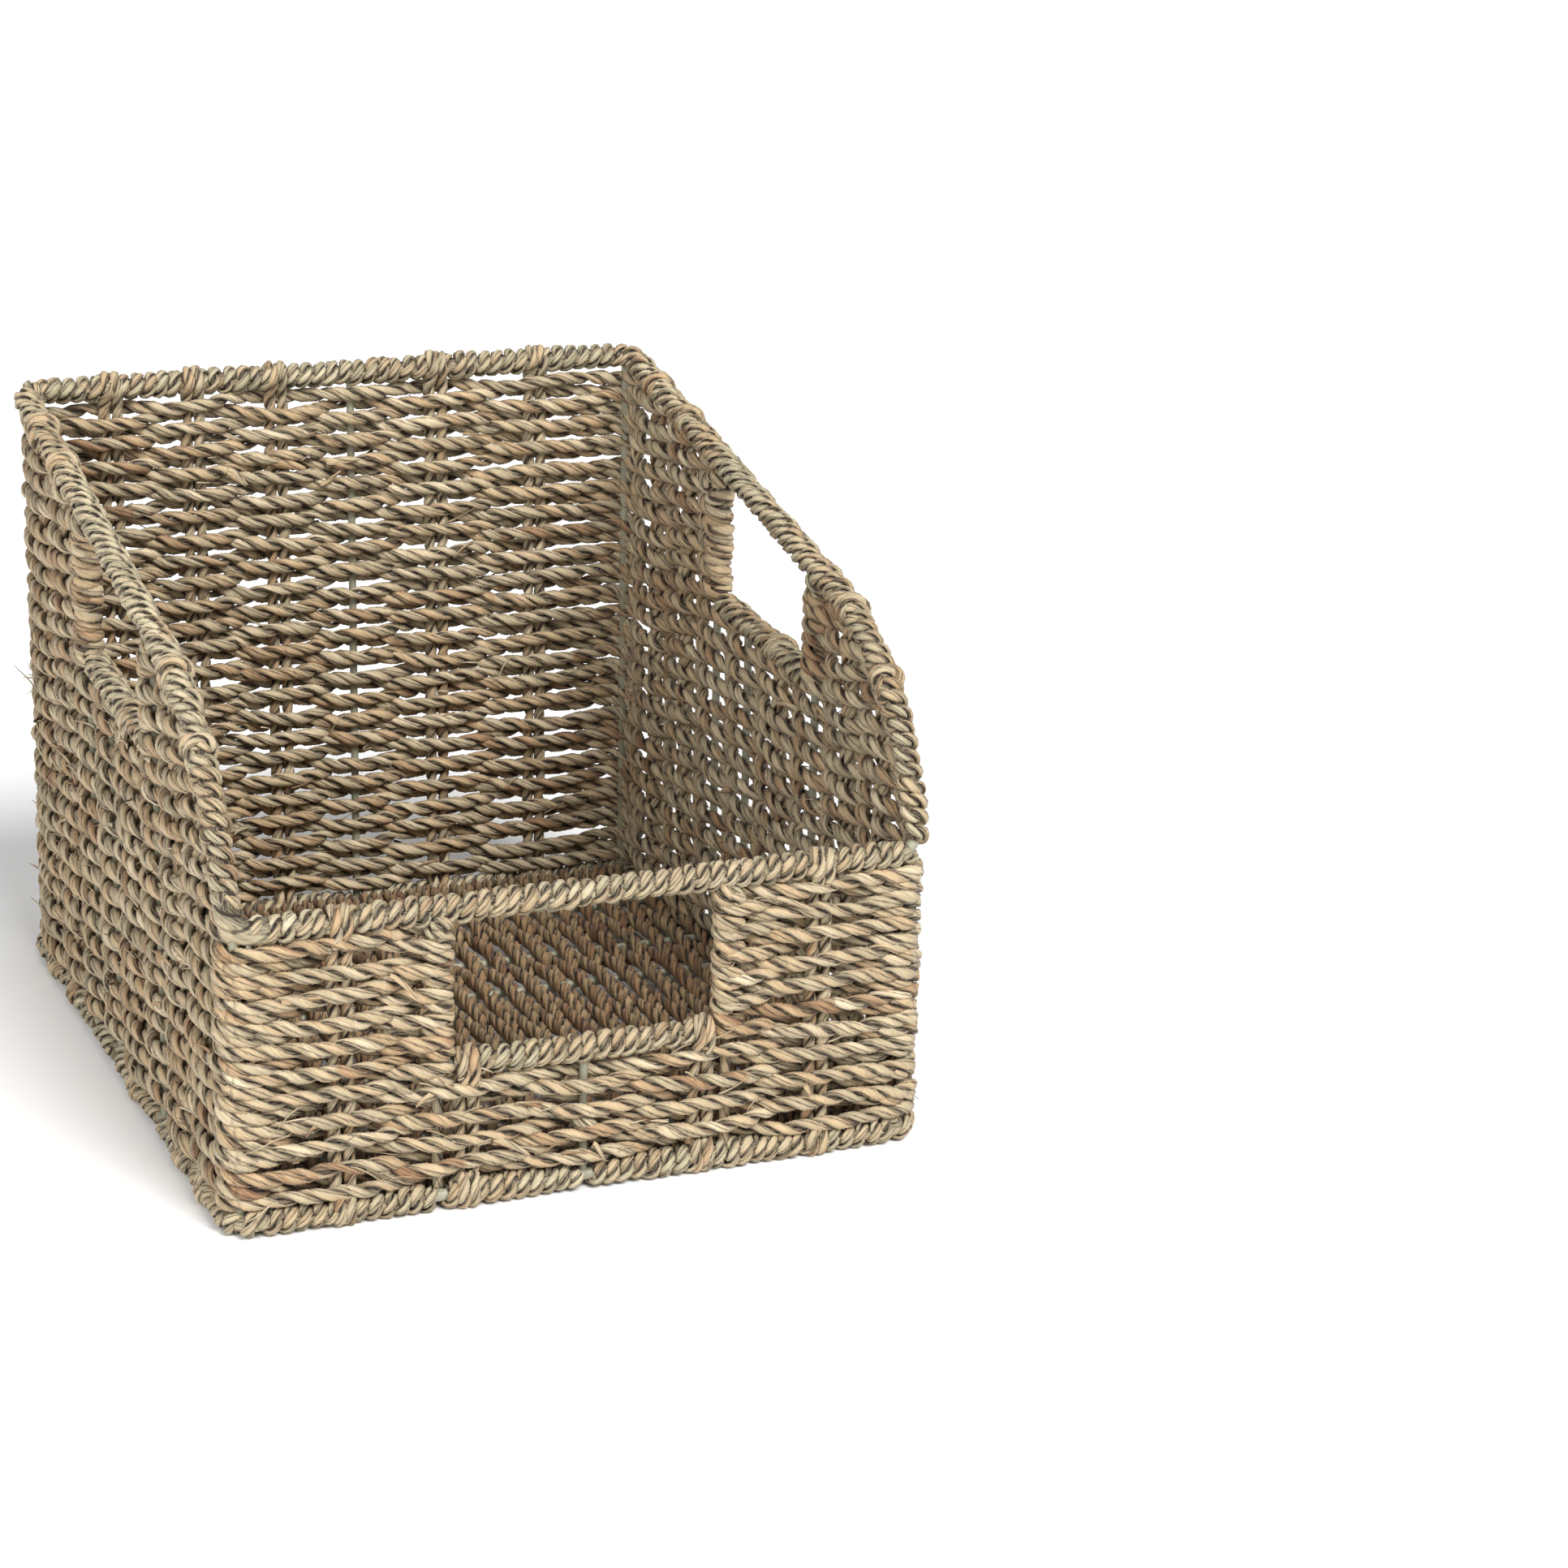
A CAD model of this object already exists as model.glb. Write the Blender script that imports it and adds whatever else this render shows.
import math

import bpy
import numpy as np
from mathutils import Matrix, Vector


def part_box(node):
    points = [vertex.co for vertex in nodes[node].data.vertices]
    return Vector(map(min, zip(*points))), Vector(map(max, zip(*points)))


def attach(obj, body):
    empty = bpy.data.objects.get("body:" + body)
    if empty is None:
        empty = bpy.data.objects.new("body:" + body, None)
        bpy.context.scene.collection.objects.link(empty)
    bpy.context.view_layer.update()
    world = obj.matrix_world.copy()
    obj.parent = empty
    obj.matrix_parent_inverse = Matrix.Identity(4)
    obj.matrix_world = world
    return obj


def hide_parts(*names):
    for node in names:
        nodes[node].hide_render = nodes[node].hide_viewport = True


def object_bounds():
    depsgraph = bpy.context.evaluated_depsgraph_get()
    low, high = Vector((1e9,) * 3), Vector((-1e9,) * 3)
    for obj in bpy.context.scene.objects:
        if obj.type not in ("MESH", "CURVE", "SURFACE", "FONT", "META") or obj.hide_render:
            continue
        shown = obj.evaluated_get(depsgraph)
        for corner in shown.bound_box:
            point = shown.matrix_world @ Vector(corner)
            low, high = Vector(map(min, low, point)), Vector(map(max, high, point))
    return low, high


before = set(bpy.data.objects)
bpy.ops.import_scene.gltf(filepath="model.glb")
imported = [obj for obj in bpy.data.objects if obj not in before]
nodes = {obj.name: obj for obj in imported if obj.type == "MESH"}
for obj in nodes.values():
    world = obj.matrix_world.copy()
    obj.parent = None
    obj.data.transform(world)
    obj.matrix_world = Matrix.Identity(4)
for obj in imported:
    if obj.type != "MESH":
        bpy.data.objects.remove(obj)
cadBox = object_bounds()
mm = 0.001      # shapes are worked out in millimetres, and meshes are in metres
print("frame loaded:", len(nodes), "parts")


def nodePoints(name):
    # corner points of a part, as rows of x, y, z
    mesh = nodes[name].data
    flat = np.empty(3 * len(mesh.vertices), np.float32)
    mesh.vertices.foreach_get("co", flat)
    return flat.reshape(-1, 3).astype(float) / mm


def nodeBox(name):
    # lowest and highest corner of a part
    low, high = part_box(name)
    return np.array(low) / mm, np.array(high) / mm


def nodeMiddle(name):
    low, high = nodeBox(name)
    return (low + high) / 2


def groupedRanges(values, gap=3.0):
    # neighbouring numbers put together: the lowest and the highest of each group
    ordered = np.sort(values)
    cuts = np.flatnonzero(np.diff(ordered) > gap)
    return np.stack([ordered[np.r_[0, cuts + 1]], ordered[np.r_[cuts, len(ordered) - 1]]], axis=1)


# places that every piece below is laid to
baseLow, baseHigh = nodeBox("base_wire")
wireRadius = (baseHigh[2] - baseLow[2]) / 2
halfWidth, halfDepth = baseHigh[:2] - wireRadius
baseZ = baseHigh[2] - wireRadius
railY, railZ = nodeMiddle("front_rail_wrap")[1:]
backZ = nodeMiddle("back_rim_wrap")[2]
wrapRadius = nodeBox("back_rim_wrap")[1][2] - backZ
frontSillZ = nodeMiddle("front_sill_wrap")[2]
sillRadius = nodeBox("front_sill_wrap")[1][2] - frontSillZ
frontUprightX = nodeMiddle("front_right_upright")[0]
sideUprights = [nodeMiddle("right_front_upright")[1], nodeMiddle("right_rear_upright")[1]]
sillMiddle = nodeMiddle("right_sill_wrap")
sillRise = np.polyfit(*nodePoints("right_sill_wire")[:, 1:].T, 1)[0]
crossWireYs = groupedRanges(nodePoints("base_cross_wires")[:, 1]).mean(axis=1)
crossWireZ = nodeMiddle("base_cross_wires")[2]

# the rim wire's own bends, which a box can't tell
rimShape = {
    "bend": 8.0,       # bend radius at the four corners
    "shoulder": 95.0,  # radius of the shoulder behind the front corners
    "fall": 0.2,       # fall of the side rims for each millimetre of depth
}
bendRadius, shoulder, fall = rimShape.values()
slopeAngle = math.atan(fall)
slopeTurn = math.pi / 2 - slopeAngle
arcY = shoulder - halfDepth
slopeY = arcY - shoulder * math.cos(slopeTurn)
arcZ = backZ - fall * (halfDepth - slopeY) - shoulder * math.sin(slopeTurn)
shoulderStart = math.atan(bendRadius / shoulder) + math.asin(
    (railZ - arcZ) / math.hypot(shoulder, bendRadius))

# The four walls follow one plan line. It runs from the left end of the front wall to the right, and
# round by the right wall, the back and the left wall. Distance along it is s.
straightX = halfWidth - bendRadius
straightY = halfDepth - bendRadius
cornerArc = math.pi / 2 * bendRadius
planS = np.cumsum([-straightX] + [2 * straightX, cornerArc, 2 * straightY, cornerArc] * 2)
planX = straightX * np.array([-1, 1, 1, 1, 1, -1, -1, -1, -1])
planY = straightY * np.array([-1, -1, -1, 1, 1, 1, 1, -1, -1])
planHeading = math.pi / 2 * np.array([0, 0, 1, 1, 2, 2, 3, 3, 4])
loopLength = planS[-1] - planS[0]
cornerS = planS[[1, 3, 5]] + cornerArc / 2
backLeftS = cornerS[2]


def planPoint(s, offset):
    # A point of the inner rectangle, which stands still at a corner, plus the bend radius and the
    # rope's own offset along the outward normal.
    wrapped = planS[0] + (s - planS[0]) % loopLength
    heading = np.interp(wrapped, planS, planHeading)
    outward = np.stack([np.sin(heading), -np.cos(heading)], axis=-1)
    core = np.stack([np.interp(wrapped, planS, planX), np.interp(wrapped, planS, planY)], axis=-1)
    return core + (bendRadius + offset)[..., None] * outward


def rightS(y):
    # distance along the plan line, for a place on the right wall
    return planS[2] + y + straightY


def leftS(y):
    # on the turn before the front wall, so that s falls below the front wall's
    return planS[6] + straightY - y - loopLength


def backS(x):
    return planS[4] + straightX - x


# the woven walls: their courses, and how a course passes the stakes
weave = {
    "pitch": 4.7,       # height of one course
    "courses": 47,      # courses up to the back rim
    "firstZ": 12.5,     # height of the middle of the first course
    "reach": 3.45,      # how far a rope's middle passes from the middle of a stake
    "frontCorner": 2.3,  # the same at the front corner posts, always outside
    "backCorner": 0.6,  # and at the back ones, by turns
    "sideBulk": 1.17,   # how much thicker the ropes are on the side walls
    "pairGrip": 4.4,    # half the length of rope that lies flat on a rope stake
    "wireGrip": 1.0,    # the same on a wire
    "onePass": 14.0,    # stakes nearer to each other than this are passed as one
    "cornerGrip": 3.0,  # half the length of rope that lies flat on a corner post
    "turnReach": 4.0,   # radius of a turn round an upright
    "turnStart": 0.12,  # angle at which a turn takes over from the course
    "turnPoints": 42,
    "turnLift": 0.6,    # how far a turn starts below its course, and ends above the next
    "wanderZ": (24.0, 0.7),  # how a course strays from its level: over which length, how far
    "wanderOut": (14.0, 0.3),  # and in and out
    "tuckFlat": 2.0,    # length of a tucked end on the middle of the wall
    "tuckRun": 22.0,    # length over which the course eases to it
    "underSill": 1.5,   # how far a course reaches into the wrap of the sill above it
    "underRail": 2.0,
    "lineStep": 0.8,    # length between points of a course's line
    "step": 1.6,        # length between rings of a rope
    "seed": 11,
}
# how the courses tilt with the side sills near them
tilt = {
    "low": 40.0,     # height at which the tilt begins
    "lowRun": 50.0,  # the sill's height less this is the height over which it grows
    "above": 5.0,    # height above the sill at which it begins to fade
    "aboveRun": 40.0,
    "side": 55.0,    # distance from the sill's middle at which it begins to fade
    "sideRun": 60.0,
}


def pairMiddles(name, axis):
    # rope stakes of one wall: the middle of each pair along the wall
    return [float((low + high) / 2) for low, high in groupedRanges(nodePoints(name)[:, axis])]


frontPairs = pairMiddles("front_rope_stakes", 0)
backPairs = pairMiddles("back_rope_stakes", 0)
sidePairs = pairMiddles("right_rope_stakes", 1)
backStakeX = nodeMiddle("back_stake")[0]
sideStakeY = nodeMiddle("right_stake")[1]


def stakeTable():
    # every stake as (s, half grip), in order along the plan line
    pairs = (frontPairs + [backS(x) for x in backPairs]
             + [f(y) for f in (rightS, leftS) for y in sidePairs])
    wires = ([0.0, -frontUprightX, frontUprightX, backS(backStakeX)]
             + [f(y) for f in (rightS, leftS) for y in (*sideUprights, sideStakeY)])
    found = sorted([(s, weave["pairGrip"]) for s in pairs] + [(s, weave["wireGrip"]) for s in wires])
    merged = [found[0]]
    for s, grip in found[1:]:
        lastS, lastGrip = merged[-1]
        if s - lastS < weave["onePass"]:
            merged[-1] = ((s + grip + lastS - lastGrip) / 2, (s + grip - lastS + lastGrip) / 2)
        else:
            merged.append((s, grip))
    return np.array(merged)


stakes = stakeTable()
cornerMarks = np.array([backLeftS - loopLength, -cornerS[0], cornerS[0], cornerS[1], backLeftS])


def weaveOffset(s, course):
    # The offset is the reach at each stake, outside and inside by turns. It is outside at the front
    # corners and by turns at the back ones. Half a cosine carries it from stake to stake.
    signs = np.where((np.arange(len(stakes)) + course) % 2 == 0, 1.0, -1.0)
    edges = np.concatenate([stakes[:, 0] - stakes[:, 1], stakes[:, 0] + stakes[:, 1],
                            cornerMarks - weave["cornerGrip"], cornerMarks + weave["cornerGrip"]])
    back = weave["backCorner"] * (1 if course % 2 == 0 else -1)
    corners = np.array([back, weave["frontCorner"], weave["frontCorner"], -back, back])
    values = np.concatenate([signs * weave["reach"], signs * weave["reach"], corners, corners])
    order = np.argsort(edges)
    edges, values = edges[order], values[order]
    unwound = cornerMarks[0] + (s - cornerMarks[0]) % loopLength
    k = np.clip(np.searchsorted(edges, unwound) - 1, 0, len(edges) - 2)
    share = np.clip((unwound - edges[k]) / (edges[k + 1] - edges[k]), 0, 1)
    return values[k] + (values[k + 1] - values[k]) * (1 - np.cos(math.pi * share)) / 2


def ease(x):
    # from 0 to 1 with level ends: three times the square, less twice the cube
    x = np.clip(x, 0, 1)
    return x * x * (3 - 2 * x)


def courseHeight(s, course):
    # The course's level, plus the sill's slope times the distance from its middle. That tilt grows
    # with height up to the sill, fades above it, and fades towards the corners.
    level = weave["firstZ"] + course * weave["pitch"]
    y = planPoint(s, np.zeros_like(s))[:, 1]
    side = ((s > cornerS[0]) & (s < cornerS[1])) | (s < -cornerS[0]) | (s > backLeftS)
    nearSill = (ease((level - tilt["low"]) / (sillMiddle[2] - tilt["lowRun"]))
                * (1 - ease((level - sillMiddle[2] - tilt["above"]) / tilt["aboveRun"])))
    inside = 1 - ease((np.abs(y - sillMiddle[1]) - tilt["side"]) / tilt["sideRun"])
    return level + side * nearSill * inside * sillRise * (y - sillMiddle[1])


def wander(count, step, spacing, amount, rng):
    # smooth random values: a new one every spacing, eased from each to the next
    places = np.arange(count) * step / spacing
    values = rng.normal(0, amount, int(places[-1]) + 3)
    k = places.astype(int)
    share = ease(places - k)
    return values[k] * (1 - share) + values[k + 1] * share


def courseLine(course, start, end, tuckStart=False, tuckEnd=False):
    # One course from start to end along the plan line: its offset and its height, each with a smooth
    # random wander. A tucked end eases in to the middle of the wall, under the rim's winding.
    step = weave["lineStep"]
    count = max(int(abs(end - start) / step), 4)
    s = np.linspace(start, end, count)
    rng = np.random.default_rng([weave["seed"], course, int(abs(start)), int(abs(end))])
    offset = weaveOffset(s, course) + wander(count, step, *weave["wanderOut"], rng)
    z = courseHeight(s, course) + wander(count, step, *weave["wanderZ"], rng)
    for at, tucked in ((start, tuckStart), (end, tuckEnd)):
        if tucked:
            offset = offset * ease((np.abs(s - at) - weave["tuckFlat"]) / weave["tuckRun"])
    return np.column_stack([planPoint(s, offset), z])


def courseTurn(course, at, direction):
    # One circle and a half in plan round an upright: along the wall by the sine of the angle,
    # across it by the cosine, while the height eases up to the next course.
    angle = np.linspace(weave["turnStart"], 3 * math.pi - weave["turnStart"], weave["turnPoints"])
    s = at + direction * weave["turnReach"] * np.sin(angle)
    offset = weaveOffset(np.full(1, at), course) * np.cos(angle)
    low, high = courseHeight(np.full(1, at), course), courseHeight(np.full(1, at), course + 1)
    z = low - weave["turnLift"] + (high - low + 2 * weave["turnLift"]) * ease(angle / (3 * math.pi))
    return np.column_stack([planPoint(s, offset), z])


def backAndForth(first, last, fromS, toS):
    # courses joined to one rope by turns round the uprights at fromS and toS
    parts = []
    start, end, direction = fromS, toS, 1
    for course in range(first, last + 1):
        parts.append(courseLine(course, start, end))
        if course < last:
            parts.append(courseTurn(course, end, direction))
        start, end, direction = end, start, -direction
    return np.concatenate(parts)


def rimAt(z):
    # Depth at which the side rim's middle is at the height z: on the shoulder's circle by the root of
    # the radius squared less the height squared, and above that on the straight slope.
    if z < arcZ + shoulder * math.sin(slopeTurn):
        return arcY - math.sqrt(shoulder ** 2 - max(z - arcZ, 0) ** 2)
    return halfDepth - (backZ - z) / fall


floorGap = 0.05     # the lowest that any grass lies


class Bundle:
    # tubes that end up in one mesh
    def __init__(self):
        self.tubes = []

    def add(self, rings, along, tone):
        if len(rings) > 1:
            rings = np.concatenate([rings[..., :2], np.maximum(rings[..., 2:], floorGap)], axis=-1)
            self.tubes.append((rings, along, tone))

    def addRope(self, line, side, rope, step, seed):
        for ply in ropeRings(line, side, rope, step, seed)[1]:
            self.add(*ply)


def evenly(points, step):
    # the same line with points at even steps
    lengths = np.r_[0, np.cumsum(np.linalg.norm(np.diff(points, axis=0), axis=1))]
    count = max(int(round(lengths[-1] / step)), 2)
    at = np.linspace(0, lengths[-1], count + 1)
    return np.stack([np.interp(at, lengths, points[:, k]) for k in range(3)], axis=1), at


def unit(v):
    # the same directions with the length 1
    return v / np.linalg.norm(v, axis=-1, keepdims=True)


def patchyTone(at, rng):
    # a grass blade keeps its colour until the next blade is laid in
    low, high = blades["length"]
    ends = np.cumsum(rng.uniform(low, high, int(at[-1] / low) + 3)) - rng.uniform(0, high)
    tones = rng.beta(blades["even"], blades["even"], len(ends) + 1)
    return tones[np.searchsorted(ends, at)]


blades = {
    "count": 3,     # blades seen round a ply
    "slant": 9.0,   # turns of the blades for each 100 mm of ply
    "ridge": 0.07,  # depth of the grooves between them, as a share of the ply
    "length": (55.0, 170.0),  # shortest and longest blade
    "even": 1.7,    # how rare very pale and very dark blades are
}
twoPly = {
    "pitch": 19.9,      # length of a full twist
    "centre": 1.42,     # distance of a ply's middle from the rope's middle
    "across": 2.2,      # half width of a ply along the rope's skin
    "deep": 1.55,       # half thickness of a ply from the rope's middle outwards
    "flat": 0.86,       # how far the rope is flattened towards the stakes
    "sides": 9,
    "uneven": (9.0, 0.14),  # how a ply's thickness changes: over which length, how far
    "stray": (20.0, 0.28),  # and how the twist strays, as an angle
    "tip": 0.35,        # thickness of a cut end, as a share of the ply's
    "tipRun": 2.2,      # length over which a ply narrows to it
    "mapShift": 400.0,  # each ply starts at its own place in the surface pattern, up to this far
}


def ropeRings(line, side, rope, step, seed, taper=(True, True), bulk=lambda points: 1.0):
    # A rope of two plies twisted right-handed. N is the line's direction crossed with side, and B is
    # the direction crossed with N. A ply's middle stands off at an angle that grows by a full turn
    # each pitch, and the other ply's is opposite. Its section is an ellipse, short outwards and
    # long along the skin, less a cosine for the grooves between the blades.
    points, at = evenly(line, step)
    rng = np.random.default_rng(seed)
    reference = side(points) if callable(side) else side
    tangent = unit(np.gradient(points, axis=0))
    normal = unit(np.cross(tangent, reference))
    binormal = np.cross(tangent, normal)
    phase = rng.uniform(0, 2 * math.pi)
    around = math.pi + np.linspace(0, 2 * math.pi, rope["sides"], endpoint=False)
    ends = np.ones(len(at))
    for away, tapered in zip((at, at[-1] - at), taper):
        if tapered:
            ends *= np.clip(rope["tip"] + away / rope["tipRun"], 0, 1)
    plies = []
    for k in range(2):
        angle = 2 * math.pi * at / rope["pitch"] + phase + k * math.pi
        angle = angle + wander(len(at), step, *rope["stray"], rng)
        size = (1 + wander(len(at), step, *rope["uneven"], rng)) * ends * bulk(points)
        flatNormal = normal * rope["flat"]
        radial = np.cos(angle)[:, None] * flatNormal + np.sin(angle)[:, None] * binormal
        skin = -np.sin(angle)[:, None] * flatNormal + np.cos(angle)[:, None] * binormal
        middle = points + radial * rope["centre"]
        along = at + rope["mapShift"] * rng.uniform()
        turned = (blades["slant"] * along[:, None] / 100
                  + blades["count"] * (around - math.pi) / (2 * math.pi))
        size = size[:, None] * (1 - blades["ridge"] * np.cos(2 * math.pi * turned))
        ring = (middle[:, None]
                + (size * rope["deep"] * np.cos(around))[..., None] * radial[:, None]
                + (size * rope["across"] * np.sin(around))[..., None] * skin[:, None])
        plies.append((ring, along, patchyTone(at, rng)))
    return points, plies


up, acrossX = np.array([0.0, 0.0, 1.0]), np.array([1.0, 0.0, 0.0])
splitZ = 121.0     # the tall walls are made in a lower and an upper piece
wallPieces = ["front_courses", "right_courses_lower", "back_courses_lower", "left_courses_lower",
              "front_courses", "right_courses_upper", "back_courses_upper", "left_courses_upper"]
walls = {name: Bundle() for name in wallPieces}


def wallIndex(points):
    # which wall a point belongs to, by the lines at 45 degrees through the corners
    x, y = points[:, 0], points[:, 1]
    reachX, reachY = np.abs(x) - halfWidth, np.abs(y) - halfDepth
    facing = np.where(reachY > reachX, np.where(y < 0, 0, 2), np.where(x > 0, 1, 3))
    return facing + 4 * (points[:, 2] > splitZ)


def sideBulk(points):
    # 1 on the front and back walls, easing to the bulk of the side walls across the bend
    return 1 + (weave["sideBulk"] - 1) * ease((np.abs(points[:, 0]) - straightX) / bendRadius)


def layCourse(line, seed, taper=(True, True)):
    # a rope of the walls, cut where it passes from one piece to the next
    points, plies = ropeRings(line, up, twoPly, weave["step"], [weave["seed"], seed], taper, sideBulk)
    index = wallIndex(points)
    cuts = np.r_[0, np.flatnonzero(np.diff(index)) + 1, len(points) - 1]
    for start, end in zip(cuts[:-1], cuts[1:]):
        piece = walls[wallPieces[index[start]]]
        for rings, along, tone in plies:
            piece.add(rings[start:end + 1], along[start:end + 1], tone[start:end + 1])


def layWalls():
    # round all four walls below the front sill; from one front upright round the back to the other
    # beside the cut-out; then from rim to rim, with turns round the side uprights at the hand holds
    levels = weave["firstZ"] + weave["pitch"] * np.arange(weave["courses"])

    def coursesUnder(z):
        return int(np.sum(levels + weave["pitch"] / 2 < z))

    def layRimToRim(first, last):
        for course in range(first, last):
            y = rimAt(levels[course])
            layCourse(courseLine(course, rightS(y), leftS(y) + loopLength, True, True), course)

    underFrontSill = coursesUnder(frontSillZ - sillRadius + weave["underSill"])
    underRail = coursesUnder(railZ - wrapRadius + weave["underRail"])
    underSideSill = coursesUnder(sillMiddle[2] - sillRadius + weave["underSill"])
    frontPanelTop, rearPanelTop = (
        coursesUnder(backZ - wrapRadius - fall * (halfDepth - y)) for y in sideUprights)
    for course in range(underFrontSill):
        layCourse(courseLine(course, backLeftS - loopLength, backLeftS), course, (False, False))
    layCourse(backAndForth(underFrontSill, underRail - 1, frontUprightX, loopLength - frontUprightX),
              underFrontSill)
    layRimToRim(underRail, underSideSill)
    layCourse(backAndForth(underSideSill, rearPanelTop - 1, rightS(sideUprights[1]),
                           leftS(sideUprights[1]) + loopLength), underSideSill)
    layRimToRim(rearPanelTop, weave["courses"])
    for wallS, direction, firstSeed in ((rightS, 1, 100), (leftS, -1, 150)):
        for course in range(underSideSill, frontPanelTop, 2):
            upright = wallS(sideUprights[0])
            parts = [courseLine(course, wallS(rimAt(levels[course])), upright, True, False)]
            if course + 1 < frontPanelTop:
                parts.append(courseTurn(course, upright, direction))
                parts.append(courseLine(course + 1, upright, wallS(rimAt(levels[course + 1])),
                                        False, True))
            layCourse(np.concatenate(parts), firstSeed + course)


layWalls()
print("walls laid:", weave["courses"], "courses")

# rope stakes, tied over the rims, the sills and the base wire
stakeRope = {**twoPly, "pitch": 16.0, "centre": 1.15, "across": 1.85, "deep": 1.3, "flat": 1.0}
tie = {
    "reach": 4.5,   # how far a rope's middle stands from the wire where it goes over
    "tail": 9.0,    # how far its end hangs below the wire, outside the wall
    "spread": 2.7,  # half the distance between the two ropes of a pair
    "close": 1.9,   # the same where they go over the wire
    "corner": 4.2,  # distance of a corner's inner rope from the post
    "clear": 3.0,   # how far from a tie a rope is straight
    "lean": 0.55,   # how far a hanging end leans back to the wall, as a share of the reach
    "squash": 0.9,  # how much closer it passes under the base wire
    "step": 1.4,    # length between rings of a rope
    "points": {"turn": 14, "tail": 5, "climb": 40, "corner": 60},
    "seed": 23,
    "cornerSeed": 27,
}
cornerIn = bendRadius / math.sqrt(2)      # from a bend's centre to a post, along X and Y


def tiedRope(s, half, topZ, bottomZ):
    # Up the middle of the wall from the base wire to the top wire, and over both from the inside:
    # a half circle round each wire, whose sine is the height and whose cosine goes from in to out,
    # with the end hanging down outside.
    points = tie["points"]
    turn = np.linspace(0, math.pi, points["turn"])
    tail = np.linspace(0.15, 1, points["tail"])
    reach = tie["reach"]
    climb = np.linspace(bottomZ + reach + tie["clear"], topZ - reach - tie["clear"], points["climb"])
    hanging = reach * (1 - tie["lean"] * tail)
    outTop = np.r_[-reach * np.cos(turn), hanging]
    highTop = np.r_[topZ + reach * np.sin(turn), topZ - tie["tail"] * tail]
    outBase = np.r_[hanging[::-1], reach * np.cos(turn)]
    highBase = np.r_[(bottomZ + tie["tail"] * tail)[::-1],
                     bottomZ - (reach - tie["squash"]) * np.sin(turn)]
    out = np.r_[outBase, np.zeros(len(climb)), outTop]
    z = np.r_[highBase, climb, highTop]
    over = np.r_[np.full(len(outBase), tie["close"]), np.full(len(climb), tie["spread"]),
                 np.full(len(outTop), tie["close"])]
    return np.column_stack([planPoint(s + half * over, out), z])


def layStakes(places, wallS, heading, seed):
    # a pair of ropes at each place, which is a distance along the wall and the top wire's height
    bundle = Bundle()
    sideways = np.array([math.cos(heading), math.sin(heading), 0.0])
    for k, (place, topZ) in enumerate(places):
        for half in (-1, 1):
            line = tiedRope(wallS(place), half, topZ, baseZ)
            bundle.addRope(line, sideways, stakeRope, tie["step"], [tie["seed"], k, half + 1, seed])
    return bundle


def cornerRope(bundle, sideX, sideY, topZ):
    # a straight rope up the inner side of a corner post, where the courses turn behind it
    inward = tie["corner"] / math.sqrt(2)
    x = sideX * (straightX + cornerIn - inward)
    y = sideY * (straightY + cornerIn - inward)
    line = np.linspace((x, y, baseZ + wrapRadius), (x, y, topZ - wrapRadius), tie["points"]["corner"])
    bundle.addRope(line, np.array([sideX, -sideY, 0.0]), stakeRope, tie["step"],
                   [tie["cornerSeed"], int(topZ)])


def sideTop(y):
    # height of the wire that a side rope stake is tied over: the sill under a handle, or the rim
    if sideUprights[0] < y < sideUprights[1]:
        return sillMiddle[2] + sillRise * (y - sillMiddle[1])
    return sideRimZ(y)


def sideRimZ(y):
    # height of the side rim: on the straight slope, or on the shoulder's circle
    if y > slopeY:
        return backZ - fall * (halfDepth - y)
    return arcZ + math.sqrt(shoulder ** 2 - (arcY - y) ** 2)


frontTops = [(x, frontSillZ if abs(x) < frontUprightX else railZ) for x in frontPairs]
backTops = [(x, backZ) for x in backPairs]
sideTops = [(y, sideTop(y)) for y in sidePairs]
stakeBundles = {
    "front_stake_ropes": layStakes(frontTops, lambda x: x, 0.0, 1),
    "back_stake_ropes": layStakes(backTops, backS, math.pi, 2),
    "right_stake_ropes": layStakes(sideTops, rightS, math.pi / 2, 3),
    "left_stake_ropes": layStakes(sideTops, leftS, -math.pi / 2, 4),
}
for side in (-1, 1):
    cornerRope(stakeBundles["front_stake_ropes"], side, -1, railZ)
print("rope stakes tied")

# windings round the rims, the sills and the base wire
winding = {
    "turn": 5.5,      # length of wire that one turn covers
    "baseTurn": 5.2,  # the same on the base wire
    "middle": 3.75,   # distance of the rope's middle from the wire's middle
    "step": 1.4,      # length between rings of the rope
    "strayTurn": (5.0, 0.4),  # how unevenly the turns lie: over which length, how far
    "strayOut": (4.0, 0.3),  # and outwards
    "wireStep": 0.4,  # length of wire between points of the coil
    "start": 6.0,     # a coil starts at any angle up to this
    "layer": 3.2,     # radius of the layer of grass laid along the wire below the turns
    "leaf": 4.7,      # the same for the smooth leaf round the left-hand bend
    "leafRun": 6.0,   # length of the rail that this leaf covers
    "thin": 2.1,      # the same for the grass round the uprights below the front sill
    "layerStep": 1.5,
    "layerSides": 12,
    "layerUneven": (5.0, 0.12),
    "knot": 7.0,      # length of the winding below the rim on an upright
    "knotIn": 2.0,    # how far this reaches into the rim's own winding
    "stakeKnot": (22, 28),  # heights of the knot on the front wall's wire stake
    "points": {"straight": 40, "shoulder": 60, "rimBend": 16, "bend": 20, "knot": 30, "upright": 60},
    "seeds": {"layer": 29, "coil": 31, "rope": 37},
}
windingRope = {**twoPly, "pitch": 11.5, "centre": 1.3, "across": 1.85, "deep": 1.35, "flat": 0.72,
               "sides": 8}


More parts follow.
